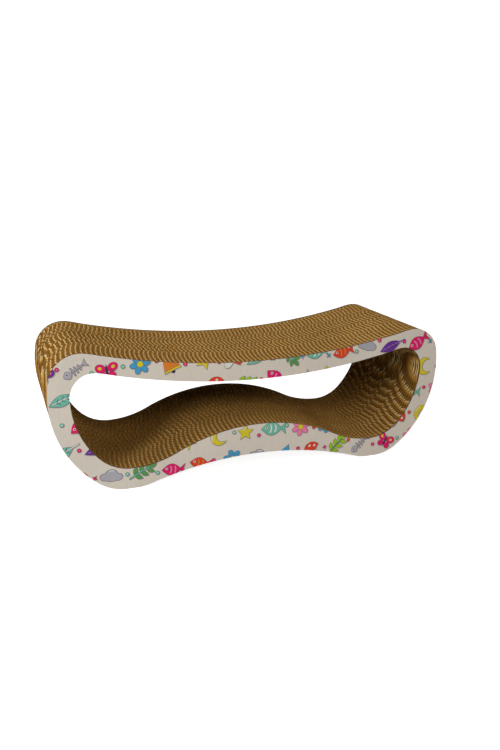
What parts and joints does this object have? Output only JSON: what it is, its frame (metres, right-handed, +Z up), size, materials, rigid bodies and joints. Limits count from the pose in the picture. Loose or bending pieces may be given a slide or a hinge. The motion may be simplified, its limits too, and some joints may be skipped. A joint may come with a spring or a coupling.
{
  "type": "cardboard cat scratcher",
  "caption": "Free-standing lounge scratcher: upright die-cut corrugated sheets glued face to face into a closed loop with a bowed top, a humped base and a printed face each side.",
  "frame": {"origin": "on the floor, at the middle of the footprint", "axes": "+X along the length to the viewer's right, +Y from the front printed face to the rear one, +Z up"},
  "size_m": [0.65, 0.225, 0.22],
  "materials": {
    "kraft_board": "matt kraft paper with open flutes at every cut edge",
    "printed_board": "matt greige paper with a small printed pattern"
  },
  "bodies": {
    "root": {"front_printed_cover": "printed_board", "corrugated_sheet_01": "kraft_board", "corrugated_sheet_02": "kraft_board", "corrugated_sheet_03": "kraft_board", "corrugated_sheet_04": "kraft_board", "corrugated_sheet_05": "kraft_board", "corrugated_sheet_06": "kraft_board", "corrugated_sheet_07": "kraft_board", "corrugated_sheet_08": "kraft_board", "corrugated_sheet_09": "kraft_board", "corrugated_sheet_10": "kraft_board", "corrugated_sheet_11": "kraft_board", "corrugated_sheet_12": "kraft_board", "corrugated_sheet_13": "kraft_board", "corrugated_sheet_14": "kraft_board", "corrugated_sheet_15": "kraft_board", "corrugated_sheet_16": "kraft_board", "corrugated_sheet_17": "kraft_board", "corrugated_sheet_18": "kraft_board", "corrugated_sheet_19": "kraft_board", "corrugated_sheet_20": "kraft_board", "corrugated_sheet_21": "kraft_board", "corrugated_sheet_22": "kraft_board", "corrugated_sheet_23": "kraft_board", "corrugated_sheet_24": "kraft_board", "corrugated_sheet_25": "kraft_board", "corrugated_sheet_26": "kraft_board", "corrugated_sheet_27": "kraft_board", "corrugated_sheet_28": "kraft_board", "corrugated_sheet_29": "kraft_board", "corrugated_sheet_30": "kraft_board", "corrugated_sheet_31": "kraft_board", "corrugated_sheet_32": "kraft_board", "corrugated_sheet_33": "kraft_board", "corrugated_sheet_34": "kraft_board", "corrugated_sheet_35": "kraft_board", "corrugated_sheet_36": "kraft_board", "rear_printed_cover": "printed_board"}
  },
  "joints": []
}
